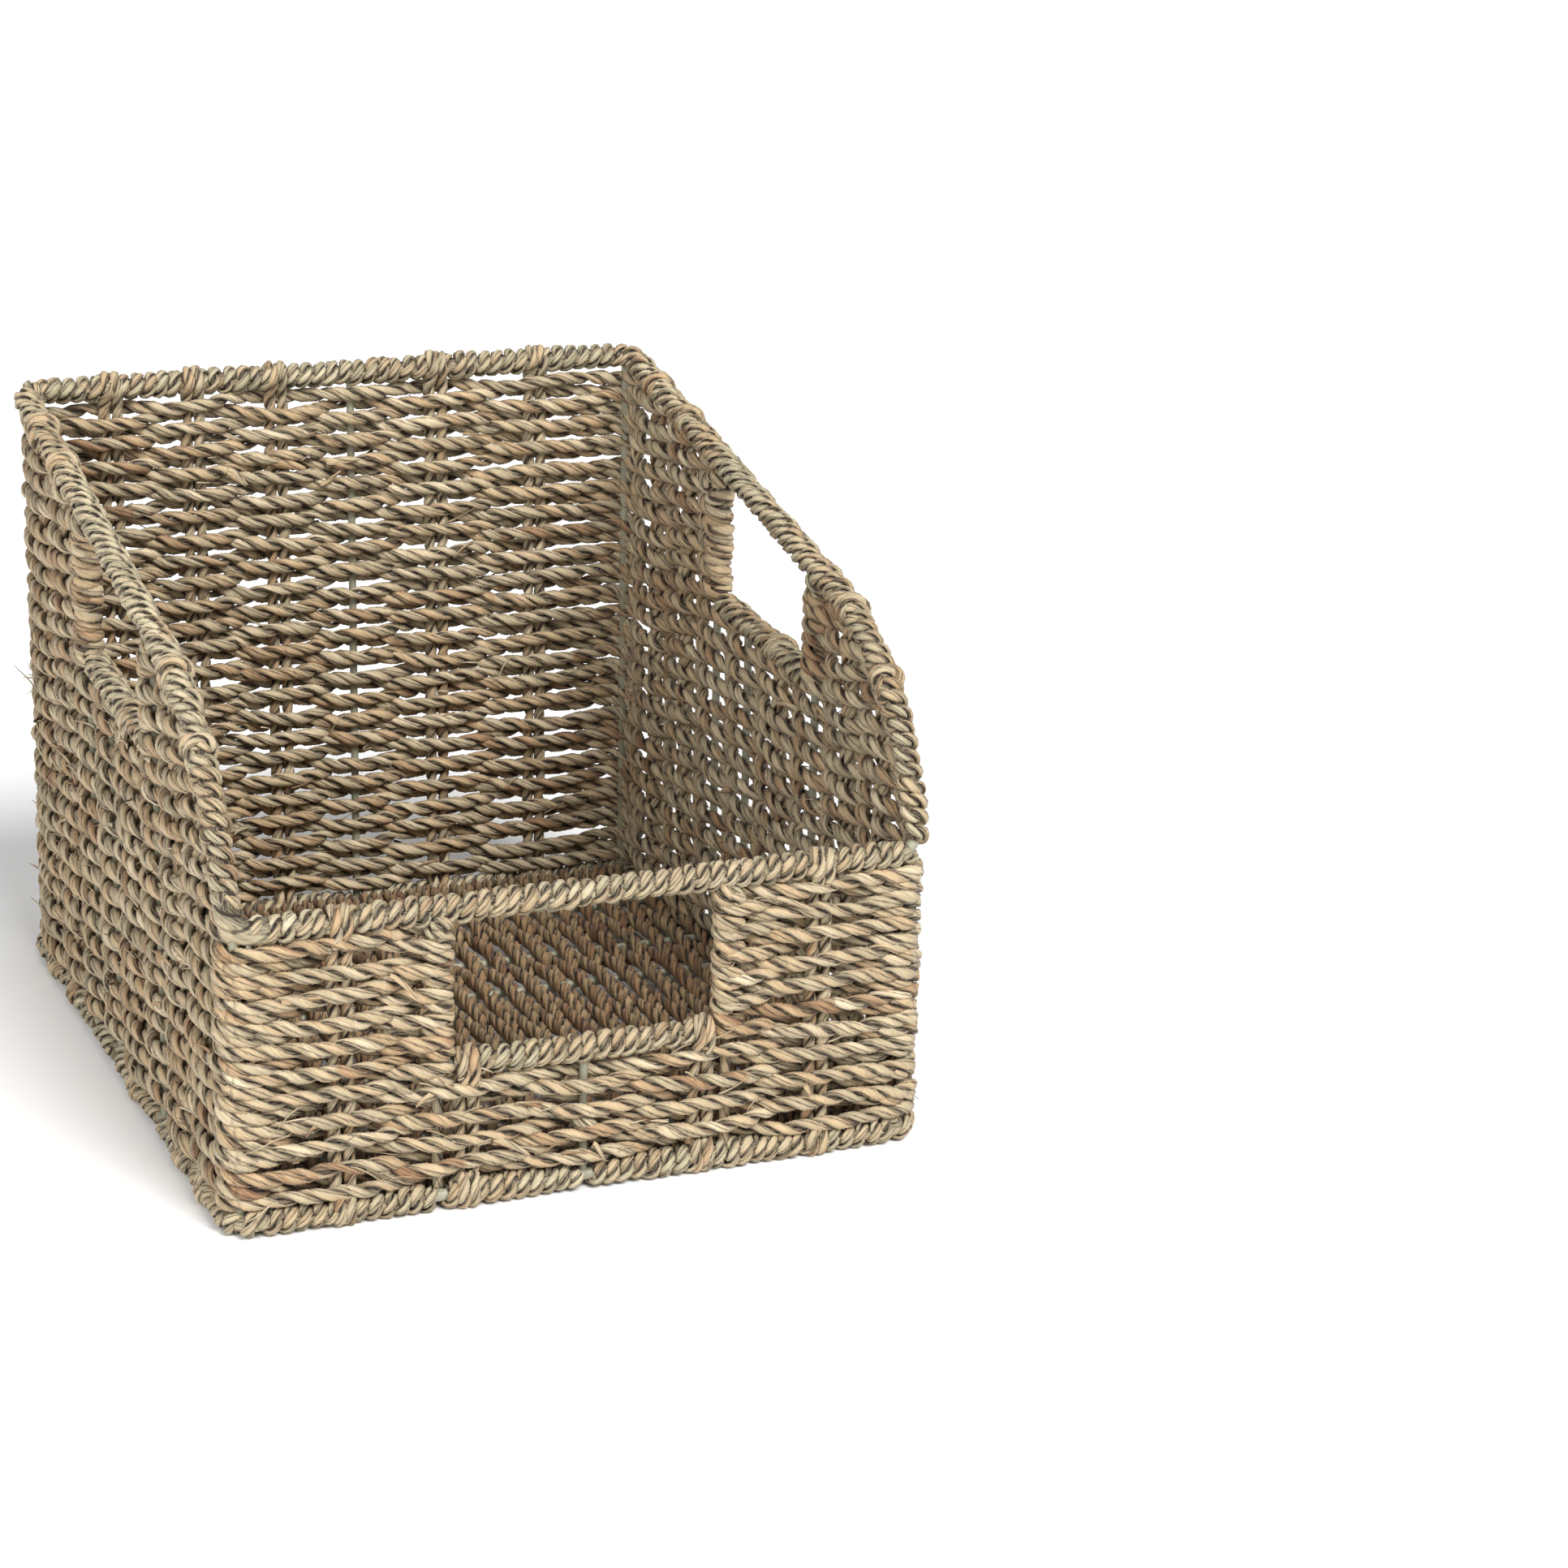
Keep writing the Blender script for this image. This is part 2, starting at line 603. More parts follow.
def wireFrame(line, step, reference):
    # even points along a wire, with its direction and the directions outwards and upwards
    points, at = evenly(line, step)
    tangent = unit(np.gradient(points, axis=0))
    outward = unit(np.cross(tangent, reference))
    return points, at, tangent, outward, np.cross(outward, tangent)


def layAlong(line, bundle, radius, seed, reference=up):
    # A layer along a wire: circles round it, upwards by the cosine and outwards by the sine of the
    # angle, with a slightly uneven radius.
    step = winding["layerStep"]
    points, at, tangent, outward, upward = wireFrame(line, step, reference)
    rng = np.random.default_rng([winding["seeds"]["layer"], seed])
    around = np.linspace(0, 2 * math.pi, winding["layerSides"], endpoint=False)
    away = (radius + wander(len(at), step, *winding["layerUneven"], rng))[:, None, None]
    rings = points[:, None] + away * (np.cos(around)[:, None] * upward[:, None]
                                      + np.sin(around)[:, None] * outward[:, None])
    bundle.add(rings, at, patchyTone(at, rng))


def windRound(line, bundle, seed, reference=up, turn=winding["turn"]):
    # A coil round a wire: the middle of the rope stands off it by a fixed distance, at an angle that
    # grows by a full circle each turn, outwards by the cosine and upwards by the sine. Both the
    # distance and the angle wander a little.
    step = winding["wireStep"]
    points, at, tangent, outward, upward = wireFrame(line, step, reference)
    rng = np.random.default_rng([winding["seeds"]["coil"], seed])
    strayed = at + wander(len(at), step, *winding["strayTurn"], rng)
    angle = 2 * math.pi * strayed / turn + rng.uniform(0, winding["start"])
    away = winding["middle"] + wander(len(at), step, *winding["strayOut"], rng)
    coil = points + away[:, None] * (np.cos(angle)[:, None] * outward + np.sin(angle)[:, None] * upward)
    coilLength = np.r_[0, np.cumsum(np.linalg.norm(np.diff(coil, axis=0), axis=1))]

    def wireDirection(ropePoints):
        share = np.linspace(0, coilLength[-1], len(ropePoints))
        return np.stack([np.interp(share, coilLength, tangent[:, k]) for k in range(3)], axis=1)

    bundle.addRope(coil, wireDirection, windingRope, winding["step"], [winding["seeds"]["rope"], seed])
    layAlong(line, bundle, winding["layer"], seed, reference)


def straight(start, end, points="straight"):
    return np.linspace(start, end, winding["points"][points])


def bar(startX, endX, y, z):
    return straight((startX, y, z), (endX, y, z))


def sideRimLine(mirror):
    # the shoulder's arc by cosine and sine of its turn, from the end of the front bend; a straight
    # slope; and a quarter circle on that slope into the back bar
    turn = np.linspace(shoulderStart, slopeTurn, winding["points"]["shoulder"])
    arc = np.stack([np.full(len(turn), halfWidth), arcY - shoulder * np.cos(turn),
                    arcZ + shoulder * np.sin(turn)], axis=1)
    bend = np.linspace(0, math.pi / 2, winding["points"]["rimBend"])
    alongX = bendRadius * (np.cos(bend) - 1)
    alongY = bendRadius * (np.sin(bend) - 1)
    corner = np.stack([halfWidth + alongX, halfDepth + alongY * math.cos(slopeAngle),
                       backZ + alongY * math.sin(slopeAngle)], axis=1)
    line = np.concatenate([arc, corner])
    return line * np.array([-1, 1, 1]) if mirror else line


def railBend(start, end, side):
    # part of the quarter circle between a side rim, where the share is 0, and the front rail, where
    # it is 1: across by the cosine of the turn, and down the rim's direction by 1 less its sine
    turn = math.pi / 2 * np.linspace(start, end, winding["points"]["bend"])
    drop = 1 - np.sin(turn)
    rise = math.pi / 2 - shoulderStart
    return np.stack([side * (halfWidth + bendRadius * (np.cos(turn) - 1)),
                     railY + bendRadius * drop * math.cos(rise),
                     railZ + bendRadius * drop * math.sin(rise)], axis=1)


def baseCorner(sideX, sideY):
    # quarter circle of the base wire, from the side wall to the front or back wall
    turn = np.linspace(0, math.pi / 2, winding["points"]["bend"])
    return np.stack([sideX * (straightX + bendRadius * np.cos(turn)),
                     sideY * (straightY + bendRadius * np.sin(turn)),
                     np.full(len(turn), baseZ)], axis=1)


def windWire(lines, seed, turn=winding["turn"]):
    # the wound lengths of one wire
    bundle = Bundle()
    for k, line in enumerate(lines):
        windRound(np.asarray(line), bundle, 20 * seed + k, up, turn)
    return bundle


def coveredRanges(name, axis, limit):
    # a wrapped length has corner points only at its two ends, up to the bends
    values = nodePoints(name)[:, axis]
    ends = groupedRanges(values[np.abs(values) < limit + 0.1], 0.5).mean(axis=1)
    return ends.reshape(-1, 2)


def baseSide(name, side):
    # the wound lengths of the base wire at a side wall, the first and the last with their corners
    ranges = coveredRanges(name, 1, straightY)
    lengths = [straight((side * halfWidth, a, baseZ), (side * halfWidth, b, baseZ)) for a, b in ranges]
    lengths[0] = np.concatenate([baseCorner(side, -1)[::-1], lengths[0]])
    lengths[-1] = np.concatenate([lengths[-1], baseCorner(side, 1)])
    return lengths


sillAlong = np.array([0, math.cos(math.atan(sillRise)), math.sin(math.atan(sillRise))])
sillGap = 0.4           # a winding ends this far before the end of its sill
sillHalf = (nodeBox("right_sill_wrap")[1][1] - nodeBox("right_sill_wrap")[0][1]) / 2 - sillGap
frontSillHalf = nodeBox("front_sill_wrap")[1][0]
sillEnds = [sillMiddle - sillHalf * sillAlong, sillMiddle + sillHalf * sillAlong]
# the last two lengths at the front are wound as one
frontRanges = coveredRanges("front_base_wrap", 0, halfWidth)
frontRanges = np.array([*frontRanges[:-2], (frontRanges[-2][0], frontRanges[-1][1])])
backRanges = coveredRanges("back_base_wrap", 0, halfWidth)
bareBend = {"rail": 0.62, "rim": 0.3}       # shares of the right-hand bend between which it is bare
windings = {
    "front_rail_winding": windWire([np.concatenate([
        bar(-straightX, straightX, railY, railZ), railBend(1, bareBend["rail"], 1)])], 1),
    "right_rim_winding": windWire([np.concatenate([
        railBend(bareBend["rim"], 0, 1), sideRimLine(False)])], 2),
    "back_rim_winding": windWire([bar(straightX, -straightX, halfDepth, backZ)], 3),
    "left_rim_winding": windWire([sideRimLine(True)[::-1]], 4),
    "front_sill_winding": windWire([bar(-frontSillHalf, frontSillHalf, railY, frontSillZ)], 5),
    "right_sill_winding": windWire([straight(*sillEnds)], 6),
    "left_sill_winding": windWire([straight(*sillEnds)[::-1] * np.array([-1, 1, 1])], 7),
    "front_base_winding": windWire([bar(a, b, -halfDepth, baseZ) for a, b in frontRanges],
                                   8, winding["baseTurn"]),
    "back_base_winding": windWire([bar(b, a, halfDepth, baseZ) for a, b in backRanges],
                                  9, winding["baseTurn"]),
    "right_base_winding": windWire(baseSide("right_base_wrap", 1), 10, winding["baseTurn"]),
    "left_base_winding": windWire(baseSide("left_base_wrap", -1), 11, winding["baseTurn"]),
}
# a smooth leaf round the left-hand bend, from the rail to the first bit of the shoulder
layAlong(np.concatenate([
    bar(-straightX + winding["leafRun"], -straightX, railY, railZ), railBend(1, 0, -1),
    sideRimLine(True)[1:5]]), windings["left_rim_winding"], winding["leaf"], 300)


def windUpright(name, x, y, topZ, seed):
    # the bit of an upright below a rim, wound like the rim
    low, high = topZ - wrapRadius - winding["knot"], topZ - wrapRadius + winding["knotIn"]
    windRound(straight((x, y, low), (x, y, high), "knot"), windings[name], seed, acrossX)


windRound(straight(*((0, railY, z) for z in winding["stakeKnot"]), "knot"),
          windings["front_sill_winding"], 330, acrossX)
for side in (-1, 1):
    x = side * frontUprightX
    layAlong(straight((x, railY, baseZ + tie["clear"]), (x, railY, frontSillZ), "upright"),
             windings["front_sill_winding"], winding["thin"], 332 + side, acrossX)
    windUpright("front_rail_winding", x, railY, railZ, 310 + side)
    for k, y in enumerate(sideUprights):
        rim = "right_rim_winding" if side > 0 else "left_rim_winding"
        windUpright(rim, side * halfWidth, y, sideRimZ(y), 320 + 4 * k + side)
print("wires wound:", len(windings))

# loose fibres and leaf ends that stand off the ropes; a range gives the least and the most
fibres = {
    "count": {"front": 100, "right": 150, "back": 160, "left": 330},
    "outside": 0.6,     # how many are outside the wall
    "length": (4.0, 15.0),
    "thick": (0.1, 0.26),
    "broad": 2.0,       # how many times broader than thick a fibre is
    "leafShare": 0.12,  # how many are the broad end of a leaf
    "leafWidth": 6.0,   # how many times broader than thick that is
    "along": (0.5, 1.0),  # way along the wall, up and outwards, for each millimetre of length
    "rise": (-0.6, 0.6),
    "lift": (0.1, 0.5),
    "root": 0.8,        # how far outside the courses' line it starts
    "narrow": 0.7,      # how much narrower its end is
    "sideTop": 150.0,   # height up to which the side walls have fibres
    "backTop": 14.0,    # and the back wall, below its rim
    "endLift": 0.22,    # the lift and the thickness of the larger leaf ends
    "endThick": 0.25,
    "points": {"length": 7, "round": 6},
    "seed": 61,
}
# the larger leaf ends: the wall, the place along it and the height, the side (1 outside, -1 inside),
# the way along and up for each millimetre of length, the length and the half width
leafEnds = [
    ("front", -113.0, 88.0, 1, 0.95, 0.1, 15.0, 1.5),
    ("front", -74.0, 93.0, 1, 0.7, -0.65, 13.0, 1.3),
    ("front", -56.0, 47.0, 1, -0.8, -0.3, 12.0, 1.4),
    ("front", -36.0, 25.0, 1, 0.9, -0.45, 14.0, 1.8),
    ("front", 84.0, 31.0, 1, 0.4, -0.7, 8.0, 1.8),
    ("front", 2.0, 18.0, 1, 0.5, -0.8, 8.0, 1.4),
    ("front", 72.0, 104.0, 1, 0.9, -0.35, 15.0, 1.3),
    ("back", backS(-48.0), 200.0, -1, -0.75, -0.55, 10.0, 2.6),
    ("back", backS(-30.0), 203.0, -1, -0.95, -0.2, 15.0, 2.8),
    ("back", backS(-6.0), 201.0, -1, -0.95, 0.1, 14.0, 2.2),
    ("right", rightS(-60.0), 95.0, -1, 0.8, -0.5, 10.0, 1.6),
    ("right", rightS(20.0), 84.0, -1, 0.85, -0.4, 9.0, 1.5),
]


def layLeaf(wall, s, z, side, along, rise, lift, length, wide, thick, tone):
    # A flat sliver that starts in a rope's skin: the way along the wall grows evenly, the way up
    # with the power 1.5, and the way outwards with the square. Its section is an ellipse, which
    # narrows with the square too.
    share = np.linspace(0, 1, fibres["points"]["length"])
    out = side * (weave["reach"] + fibres["root"] + lift * length * share ** 2)
    height = z + rise * length * share ** 1.5
    line = np.column_stack([planPoint(s + along * length * share, out), height])
    turn = np.linspace(0, 2 * math.pi, fibres["points"]["round"], endpoint=False)
    tangent = unit(np.gradient(line, axis=0))
    root = np.full(len(share), s)
    outward = planPoint(root, out + side) - planPoint(root, out)
    broad = unit(np.cross(tangent, np.column_stack([outward, np.full(len(share), 0.1)])))
    narrow = np.cross(tangent, broad)
    size = (1 - fibres["narrow"] * share ** 2)[:, None, None]
    rings = line[:, None] + size * (thick * np.cos(turn)[:, None] * narrow[:, None]
                                    + wide * np.sin(turn)[:, None] * broad[:, None])
    piece = wall + "_courses"
    if wall != "front":
        piece += "_lower" if z < splitZ else "_upper"
    walls[piece].add(rings, length * share, np.full(len(share), tone))


def looseFibres():
    # on each wall between two places along it and below a height, then the larger ends
    places = {"front": (-straightX, straightX, frontSillZ),
              "right": (planS[2], planS[3], fibres["sideTop"]),
              "back": (planS[4], planS[5], backZ - fibres["backTop"]),
              "left": (leftS(straightY), leftS(-straightY), fibres["sideTop"])}
    for k, (wall, (low, high, top)) in enumerate(places.items()):
        rng = np.random.default_rng([fibres["seed"], k])
        for n in range(fibres["count"][wall]):
            side = 1 if rng.uniform() < fibres["outside"] else -1
            thick = rng.uniform(*fibres["thick"])
            broad = fibres["leafWidth"] if rng.uniform() < fibres["leafShare"] else fibres["broad"]
            layLeaf(wall, rng.uniform(low, high), rng.uniform(weave["firstZ"], top), side,
                    rng.choice([-1, 1]) * rng.uniform(*fibres["along"]), rng.uniform(*fibres["rise"]),
                    rng.uniform(*fibres["lift"]), rng.uniform(*fibres["length"]), broad * thick,
                    thick, rng.uniform())
    rng = np.random.default_rng(fibres["seed"])
    for wall, s, z, side, along, rise, length, wide in leafEnds:
        layLeaf(wall, s, z, side, along, rise, fibres["endLift"], length, wide, fibres["endThick"],
                rng.uniform(0.05, 0.5))


looseFibres()

# the base, woven over the cross wires
baseWeave = {
    "ropes": 50,
    "reach": 3.2,    # how far a rope's middle passes over the middle of a cross wire
    "under": 1.3,    # and below it: the grass sinks in round the wire
    "margin": 5.2,   # distance of the outer ropes from the side walls' plan line
    "endIn": 3.0,    # distance of the ropes' ends from the front and back plan lines
    "endRise": 1.5,  # height of the ends over the middle of the base wire
    "points": 400,
    "pointStep": 0.75,
    "strayUp": (15, 0.15),  # how a rope strays up and down: over which length, how far
    "straySide": (18, 0.25),  # and sideways
    "seed": 47,
}
baseRope = {**twoPly, "pitch": 17.0, "centre": 1.5, "across": 2.5, "deep": 1.6, "flat": 0.74}


def layBase():
    # Each rope runs from front to back and passes over and under the cross wires by turns. Half a
    # cosine carries its height from wire to wire, and it strays a little both ways.
    halves = {"left_base_ropes": Bundle(), "right_base_ropes": Bundle()}
    lowX = -halfWidth + baseWeave["margin"]
    xs = np.linspace(lowX, -lowX, baseWeave["ropes"])
    ends = halfDepth - baseWeave["endIn"]
    y = np.linspace(-ends, ends, baseWeave["points"])

    def stray(way, rng):
        return wander(len(y), baseWeave["pointStep"], *baseWeave[way], rng)

    knots = np.r_[-ends, crossWireYs, ends]
    k = np.clip(np.searchsorted(knots, y) - 1, 0, len(knots) - 2)
    share = (1 - np.cos(math.pi * (y - knots[k]) / (knots[k + 1] - knots[k]))) / 2
    endZ = baseZ + baseWeave["endRise"]
    for i, x in enumerate(xs):
        rng = np.random.default_rng([baseWeave["seed"], i])
        over = (i + np.arange(len(crossWireYs))) % 2 == 0
        passes = crossWireZ + np.where(over, baseWeave["reach"], -baseWeave["under"])
        heights = np.r_[endZ, passes, endZ]
        z = heights[k] + (heights[k + 1] - heights[k]) * share + stray("strayUp", rng)
        line = np.column_stack([x + stray("straySide", rng), y, z])
        half = halves["left_base_ropes" if x < 0 else "right_base_ropes"]
        half.addRope(line, up, baseRope, weave["step"], [baseWeave["seed"], i])
    return halves


baseHalves = layBase()
print("base laid:", baseWeave["ropes"], "ropes")


class Value:
    # a socket of a shader tree: arithmetic on it adds Math nodes
    def __init__(self, tree, socket=None):
        self.tree = tree
        self.socket = socket

    def make(self, kind, settings, inputs, output=0):
        # any node: its settings first, then the values or links of its inputs; the stops of a ramp
        # are places and colours
        node = self.tree.nodes.new(kind)
        for key, setting in settings.items():
            if key == "stops":
                ramp = node.color_ramp
                while len(ramp.elements) < len(setting):
                    ramp.elements.new(0.5)
                for element, (place, colour) in zip(ramp.elements, setting):
                    element.position = place
                    element.color = (*colour, 1)
            else:
                setattr(node, key, setting)
        for key, value in inputs.items():
            if isinstance(value, Value):
                self.tree.links.new(value.socket, node.inputs[key])
            else:
                node.inputs[key].default_value = value
        return Value(self.tree, node.outputs[output] if node.outputs else None)

    def math(self, operation, first, second=0.0):
        return self.make("ShaderNodeMath", {"operation": operation}, {0: first, 1: second})

    def __add__(self, other):
        return self.math("ADD", self, other)

    __radd__ = __add__

    def __sub__(self, other):
        return self.math("SUBTRACT", self, other)

    def __rsub__(self, other):
        return self.math("SUBTRACT", other, self)

    def __mul__(self, other):
        return self.math("MULTIPLY", self, other)

    __rmul__ = __mul__

    def size(self):
        return self.math("ABSOLUTE", self)

    def noise(self, vector, scale, detail, roughness=0.5):
        return self.make("ShaderNodeTexNoise", {}, {
            "Vector": vector, "Scale": scale, "Detail": detail, "Roughness": roughness})

    def rise(self, low, high):
        # 0 below low, 1 above high, smooth between
        return self.make("ShaderNodeMapRange", {"interpolation_type": "SMOOTHSTEP"},
                         {"Value": self, "From Min": low, "From Max": high})

    def blend(self, first, second):
        # this value carries one colour to another
        return self.make("ShaderNodeMix", {"data_type": "RGBA"}, {0: self, 6: first, 7: second}, 2)


def linear(red, green, blue):
    # a screen colour from 0 to 255 as the renderer's linear light
    return tuple((c / 255 / 12.92) if c <= 10 else ((c / 255 + 0.055) / 1.055) ** 2.4
                 for c in (red, green, blue))


def emptyMaterial(name):
    material = bpy.data.materials.new(name)
    material.use_nodes = True
    material.node_tree.nodes.clear()
    return material, Value(material.node_tree)


grassLooks = {
    "streaks": 20.0,    # streaks round a ply
    "streakRun": 7.0,   # streaks along each 100 mm
    "fine": (4, 2.6),   # how many times more fine streaks there are, along and round
    "patch": (3.0, 2.0),  # and patches of colour
    "bladeEdge": 0.16,  # width of the dark line between blades, as a share of a blade
    "crease": (0.13, 0.46),  # where the shade towards the other ply begins and is full
    "gaps": {"fine": (0.3, 0.6), "streak": (0.28, 0.46)},  # noise between which a gap closes
    "waver": 0.3,       # how far the streaks shift the blades' edges
    "rough": (0.5, 0.22),  # least roughness, and how much the streaks add
    # shares of each in the colour's place on its ramp, in the shade over it, and in the bump
    "colour": {"ply": 0.66, "blade": 0.24, "streak": 0.42, "patch": 0.3, "less": 0.3},
    "shade": {"crease": 0.66, "edge": 0.52, "fine": 0.4, "streak": 0.26},
    "bump": {"streak": 0.55, "fine": 0.35, "edge": 0.6},
    "bumpDepth": 0.0005,
    "shadeColour": (0.028, 0.018, 0.011, 1),
}


def grassMaterial(name, stops, darkness=0.0):
    material, start = emptyMaterial(name)
    look = grassLooks
    share, shade, raised = (look[k] for k in ("colour", "shade", "bump"))
    uv = start.make("ShaderNodeUVMap", {"uv_map": "rope"}, {})
    along = start.make("ShaderNodeSeparateXYZ", {}, {0: uv})
    around = Value(start.tree, along.socket.node.outputs[1])
    tone = start.make("ShaderNodeAttribute", {"attribute_name": "tone"}, {}, 2)

    def ropeNoise(alongScale, aroundScale, detail):
        vector = start.make("ShaderNodeCombineXYZ", {}, {
            0: along * alongScale, 1: around * aroundScale, 2: tone * 37.0})
        return start.noise(vector, 1.0, detail, 0.55)

    streak = ropeNoise(look["streakRun"], look["streaks"], 3.0)
    fine = ropeNoise(look["streakRun"] * look["fine"][0], look["streaks"] * look["fine"][1], 2.0)
    patch = ropeNoise(*look["patch"], 1.0)

    # blades lie round each ply like a second, finer twist, with a dark line where one ends
    turned = around * blades["count"] + along * blades["slant"] + streak * look["waver"]
    place = start.math("FRACT", turned)
    edge = 1 - (place - 0.5).size().rise(0.0, look["bladeEdge"])
    blade = start.math("FLOOR", turned)
    bladeTone = start.make("ShaderNodeTexWhiteNoise", {"noise_dimensions": "2D"}, {
        0: start.make("ShaderNodeCombineXYZ", {}, {0: blade, 1: tone * 91.0})})

    rampPlace = (tone * share["ply"] + bladeTone * share["blade"] + streak * share["streak"]
                 + patch * share["patch"] - share["less"])
    ramp = [(place, linear(*colour)) for place, *colour in stops]
    colour = start.make("ShaderNodeValToRGB", {"stops": ramp}, {0: rampPlace})
    creases = (around - 0.5).size().rise(*look["crease"])
    shadow = (creases * shade["crease"] + edge * shade["edge"]
              + (1 - fine.rise(*look["gaps"]["fine"])) * shade["fine"]
              + (1 - streak.rise(*look["gaps"]["streak"])) * shade["streak"] + darkness)
    dark = shadow.blend(colour, look["shadeColour"])
    height = streak * raised["streak"] + fine * raised["fine"] - edge * raised["edge"]
    bump = start.make("ShaderNodeBump", {}, {
        "Height": height, "Distance": look["bumpDepth"], "Strength": 0.8})
    shader = start.make("ShaderNodeBsdfPrincipled", {}, {
        "Base Color": dark, "Roughness": look["rough"][0] + look["rough"][1] * streak, "Normal": bump,
        "Sheen Weight": 0.12, "Sheen Roughness": 0.5, "Specular IOR Level": 0.3})
    start.make("ShaderNodeOutputMaterial", {}, {0: shader})
    return material


# the grasses: places on the ramp, and the screen colours there
wallStops = [(0.0, 108, 75, 50), (0.12, 156, 118, 84), (0.28, 188, 158, 120), (0.46, 206, 181, 143),
             (0.6, 184, 169, 138), (0.78, 216, 195, 160), (1.0, 240, 223, 189)]
rimStops = [(0.0, 146, 114, 82), (0.16, 182, 154, 117), (0.4, 206, 185, 149), (0.6, 188, 177, 145),
            (0.8, 216, 199, 164), (1.0, 238, 225, 193)]
baseStops = [(0.0, 90, 59, 36), (0.2, 136, 98, 65), (0.45, 172, 136, 96), (0.65, 156, 132, 96),
             (0.85, 194, 162, 118), (1.0, 216, 191, 147)]
wallGrass = grassMaterial("wall_grass", wallStops)
rimGrass = grassMaterial("rim_grass", rimStops, 0.03)
baseGrass = grassMaterial("base_grass", baseStops, 0.05)


wireLooks = {
    "clouds": 60.0,  # patches of colour, and specks, for each metre
    "specks": 900.0,
    "dark": (140, 138, 117),
    "pale": (162, 160, 138),
    "worn": (104, 98, 80),
    "wear": 0.4,     # how strongly the worn specks show
}


def wireMaterial():
    # sage enamel with a slightly uneven skin, worn darker here and there
    material, start = emptyMaterial("painted_wire")
    look = wireLooks
    place = start.make("ShaderNodeTexCoord", {}, {}, 3)
    cloud = start.noise(place, look["clouds"], 3.0)
    speck = start.noise(place, look["specks"], 2.0)
    dark, pale, worn = ((*linear(*look[k]), 1) for k in ("dark", "pale", "worn"))
    colour = cloud.rise(0.35, 0.7).blend(dark, pale)
    colour = (speck.rise(0.62, 0.72) * look["wear"]).blend(colour, worn)
    bump = start.make("ShaderNodeBump", {}, {
        "Height": cloud * 0.6 + speck * 0.4, "Distance": 0.0001, "Strength": 0.5})
    shader = start.make("ShaderNodeBsdfPrincipled", {}, {
        "Base Color": colour, "Roughness": 0.36 + 0.2 * cloud, "Normal": bump})
    start.make("ShaderNodeOutputMaterial", {}, {0: shader})
    return material


paintedWire = wireMaterial()


def buildPiece(name, bundle, material, replaced):
    # Rings joined by four-sided faces, each tube closed by a flat face at both ends. The map's
    # u is the length along the ply in units of 100 mm, and v goes once round it.
    points, corners, starts, maps, tones = [], [], [], [], []
    pointCount = cornerCount = 0
    for rings, along, tone in bundle.tubes:
        n, k = rings.shape[:2]
        i, j = np.meshgrid(np.arange(n - 1), np.arange(k), indexing="ij")
        nextJ = (j + 1) % k
        quads = np.stack([i * k + j, i * k + nextJ, (i + 1) * k + nextJ, (i + 1) * k + j], axis=-1)
        u = along / 100
        v = np.linspace(0, 1, k + 1)
        quadU = np.stack([u[i], u[i], u[i + 1], u[i + 1]], axis=-1)
        quadV = np.stack([v[j], v[j + 1], v[j + 1], v[j]], axis=-1)
        capStart, capEnd = np.arange(k)[::-1], (n - 1) * k + np.arange(k)
        corners += [quads.ravel() + pointCount, capStart + pointCount, capEnd + pointCount]
        maps += [np.stack([quadU.ravel(), quadV.ravel()], axis=1),
                 np.stack([np.full(k, u[0]), v[:k][::-1]], axis=1),
                 np.stack([np.full(k, u[-1]), v[:k]], axis=1)]
        quadTotal = (n - 1) * k
        starts += [cornerCount + 4 * np.arange(quadTotal),
                   cornerCount + 4 * quadTotal + np.array([0, k])]
        points.append(rings.reshape(-1, 3))
        tones.append(np.repeat(tone, k))
        pointCount += n * k
        cornerCount += 4 * quadTotal + 2 * k
    mesh = bpy.data.meshes.new(name)
    mesh.vertices.add(pointCount)
    mesh.vertices.foreach_set("co", (np.concatenate(points) * mm).ravel())
    mesh.loops.add(cornerCount)
    mesh.loops.foreach_set("vertex_index", np.concatenate(corners).astype(np.int32))
    faceStarts = np.concatenate(starts).astype(np.int32)
    mesh.polygons.add(len(faceStarts))
    mesh.polygons.foreach_set("loop_start", faceStarts)
    mesh.uv_layers.new(name="rope").data.foreach_set("uv", np.concatenate(maps).ravel())
    mesh.attributes.new("tone", "FLOAT", "POINT").data.foreach_set("value", np.concatenate(tones))
    mesh.update(calc_edges=True)
    mesh.shade_smooth()
    mesh.materials.append(material)
    piece = bpy.data.objects.new(name, mesh)
    bpy.context.scene.collection.objects.link(piece)
    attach(piece, "root")
    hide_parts(*replaced)


for name, bundle in walls.items():
    buildPiece(name, bundle, wallGrass, [name.split("_")[0] + "_weave"])
for name, bundle in stakeBundles.items():
    buildPiece(name, bundle, wallGrass, [name.split("_")[0] + "_rope_stakes"])
for name, bundle in windings.items():
    buildPiece(name, bundle, rimGrass, [name.replace("winding", "wrap")])
for name, bundle in baseHalves.items():
    buildPiece(name, bundle, baseGrass, ["base_weave"])
print("meshes built")

# the wires keep their own meshes
for name, node in nodes.items():
    if not node.hide_render:
        node.data.materials.clear()
        node.data.materials.append(paintedWire)

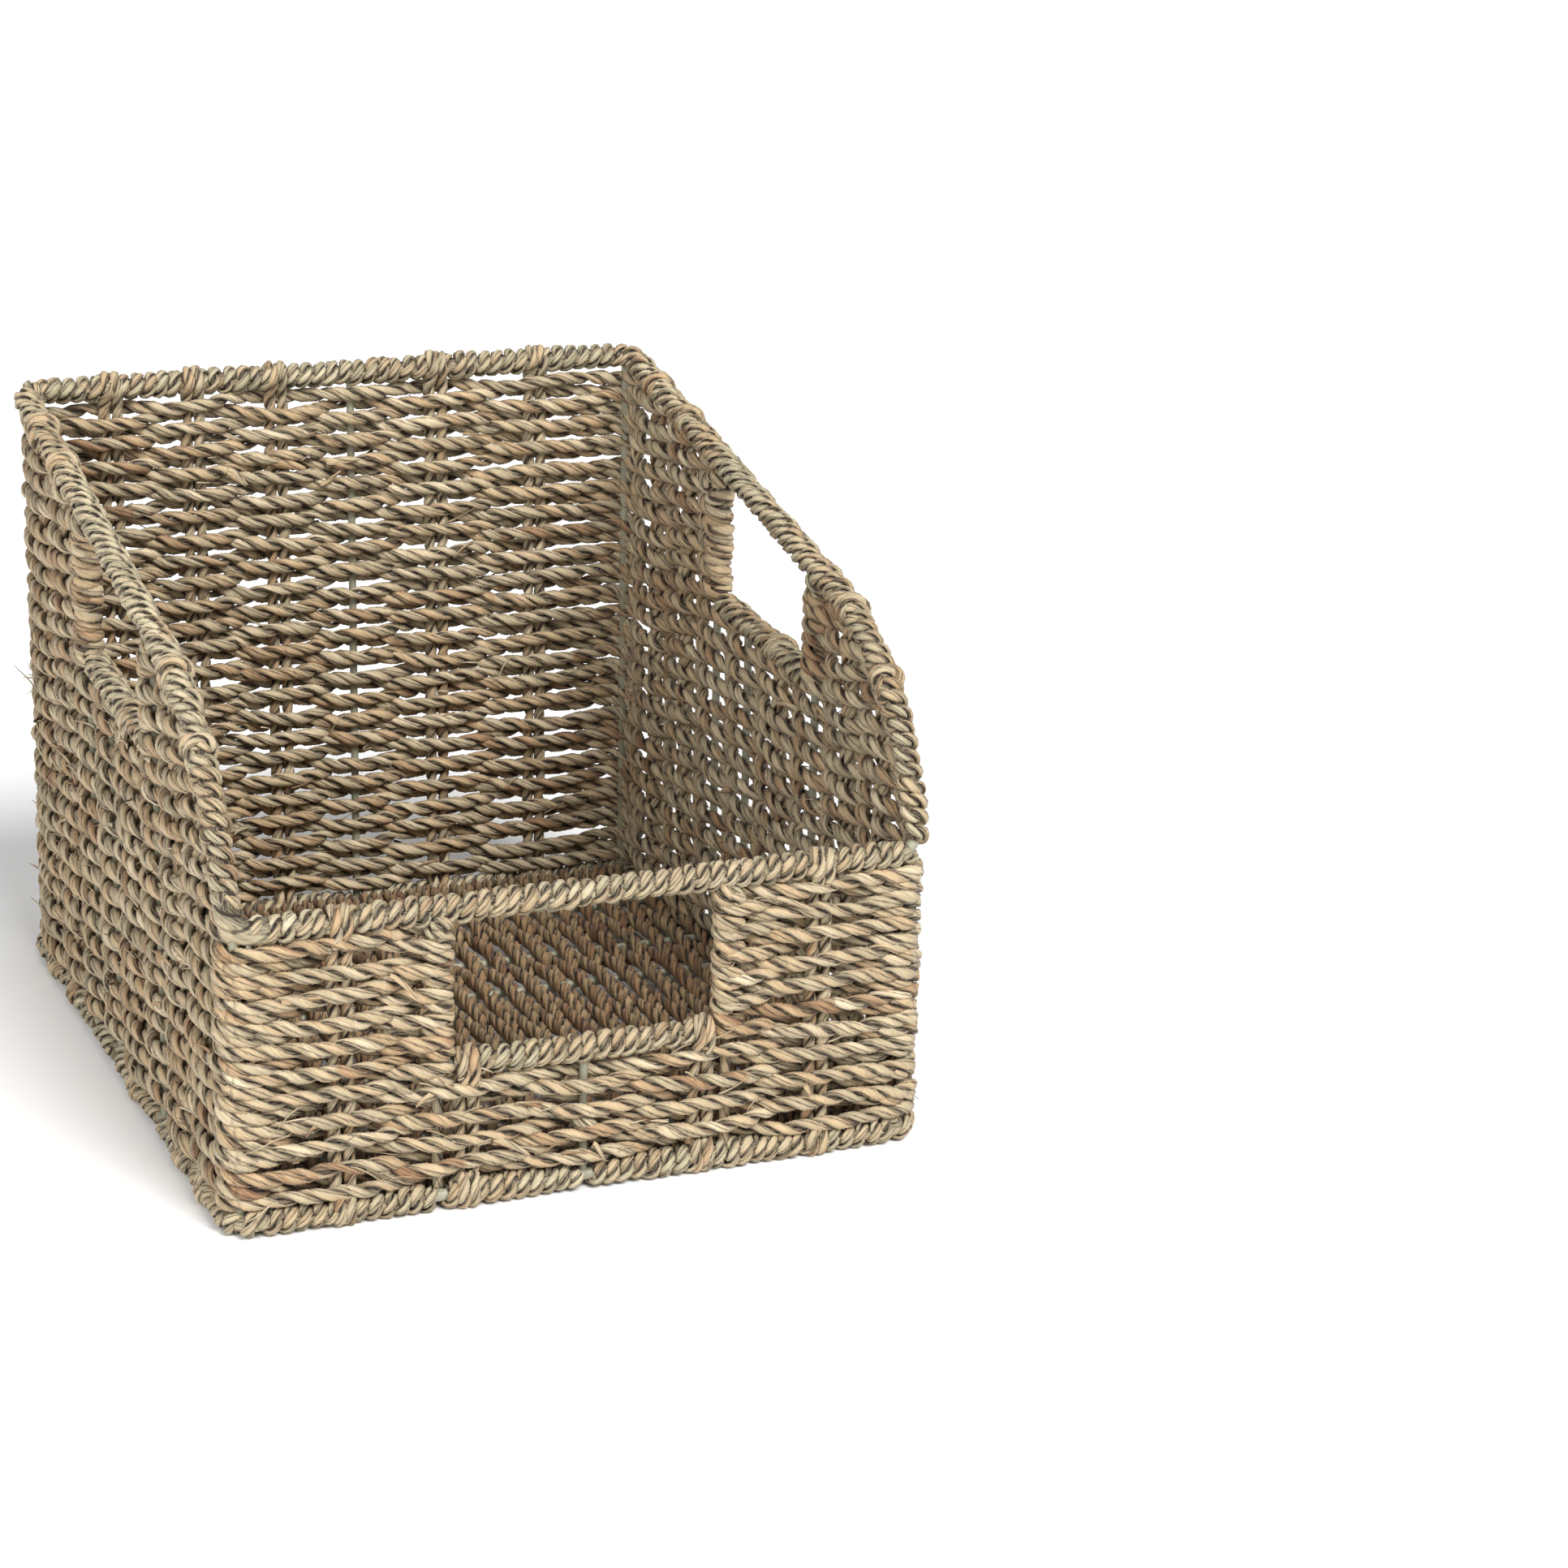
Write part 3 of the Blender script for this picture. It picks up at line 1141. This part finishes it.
# floor and lights
studio = {
    "floorSize": 6.0,
    "floorColour": (0.93, 0.93, 0.93, 1),
    "floorRough": 0.9,
    "worldSeen": 1.0,  # how bright the white is behind the basket, and as a light on it
    "worldLight": 0.38,
    "keyStrength": 3.4,
    "keySoftness": 28.0,  # how wide the key light is, in degrees
    "fillPower": 18.0,
    "keyFrom": (0.25, -1.0, 1.15),  # places of the lights, from the middle of the basket
    "fillFrom": (-1.4, -0.9, 0.8),
    "fillSize": 1.4,
    "floorDrop": 0.0006,  # how far the floor is below the basket
}


def addLight(name, kind, place, target, strength, softness):
    data = bpy.data.lights.new(name, kind)
    data.energy = strength
    if kind == "SUN":
        data.angle = math.radians(softness)
    else:
        data.shape = "DISK"
        data.size = softness
    light = bpy.data.objects.new(name, data)
    aim = (Vector(target) - Vector(place)).to_track_quat("-Z", "Y")
    light.matrix_world = Matrix.Translation(place) @ aim.to_matrix().to_4x4()
    bpy.context.scene.collection.objects.link(light)


def makeStudio():
    grid = studio["floorSize"] * np.array([[-1, -1, 0], [1, -1, 0], [1, 1, 0], [-1, 1, 0]], float)
    mesh = bpy.data.meshes.new("floor")
    mesh.from_pydata((grid - [0, 0, studio["floorDrop"]]).tolist(), [], [(0, 1, 2, 3)])
    floorMaterial = bpy.data.materials.new("pale_floor")
    floorMaterial.use_nodes = True
    shader = floorMaterial.node_tree.nodes["Principled BSDF"]
    shader.inputs["Base Color"].default_value = studio["floorColour"]
    shader.inputs["Roughness"].default_value = studio["floorRough"]
    mesh.materials.append(floorMaterial)
    floor = bpy.data.objects.new("floor", mesh)
    bpy.context.scene.collection.objects.link(floor)
    world = bpy.data.worlds.new("white")
    world.use_nodes = True
    start = Value(world.node_tree)
    seen = start.make("ShaderNodeLightPath", {}, {})
    background = world.node_tree.nodes["Background"]
    background.inputs["Color"].default_value = (1, 1, 1, 1)
    strength = seen * (studio["worldSeen"] - studio["worldLight"]) + studio["worldLight"]
    world.node_tree.links.new(strength.socket, background.inputs["Strength"])
    bpy.context.scene.world = world
    middle = (cadBox[0] + cadBox[1]) / 2
    addLight("key", "SUN", middle + Vector(studio["keyFrom"]), middle,
             studio["keyStrength"], studio["keySoftness"])
    addLight("fill", "AREA", middle + Vector(studio["fillFrom"]), middle,
             studio["fillPower"], studio["fillSize"])


# the camera, with its place in millimetres
cameraView = {
    "place": (-442.5, -1357.2, 583.7),
    "azimuth": 23.27,  # degrees from straight ahead, towards the right
    "elevation": 18.44,  # degrees downwards
    "roll": 1.39,
    "lens": 88.16,
    "sensor": 36,
    "near": 0.05,
}


def makeCamera():
    # it looks along (sin a cos e, cos a cos e, -sin e), and is turned about that line by the roll
    azimuth, elevation, roll = (math.radians(cameraView[k]) for k in ("azimuth", "elevation", "roll"))
    ahead = Vector((math.sin(azimuth) * math.cos(elevation), math.cos(azimuth) * math.cos(elevation),
                    -math.sin(elevation)))
    level = Vector((math.cos(azimuth), -math.sin(azimuth), 0))
    over = level.cross(ahead)
    right = level * math.cos(roll) + over * math.sin(roll)
    top = -level * math.sin(roll) + over * math.cos(roll)
    data = bpy.data.cameras.new("camera")
    data.sensor_width = cameraView["sensor"]
    data.lens = cameraView["lens"]
    data.clip_start = cameraView["near"]
    camera = bpy.data.objects.new("camera", data)
    turn = Matrix((right, top, -ahead)).transposed().to_4x4()
    camera.matrix_world = Matrix.Translation(Vector(cameraView["place"]) * mm) @ turn
    bpy.context.scene.collection.objects.link(camera)
    bpy.context.scene.camera = camera


makeStudio()
makeCamera()
bpy.context.scene.view_settings.view_transform = "Standard"
print("studio ready")
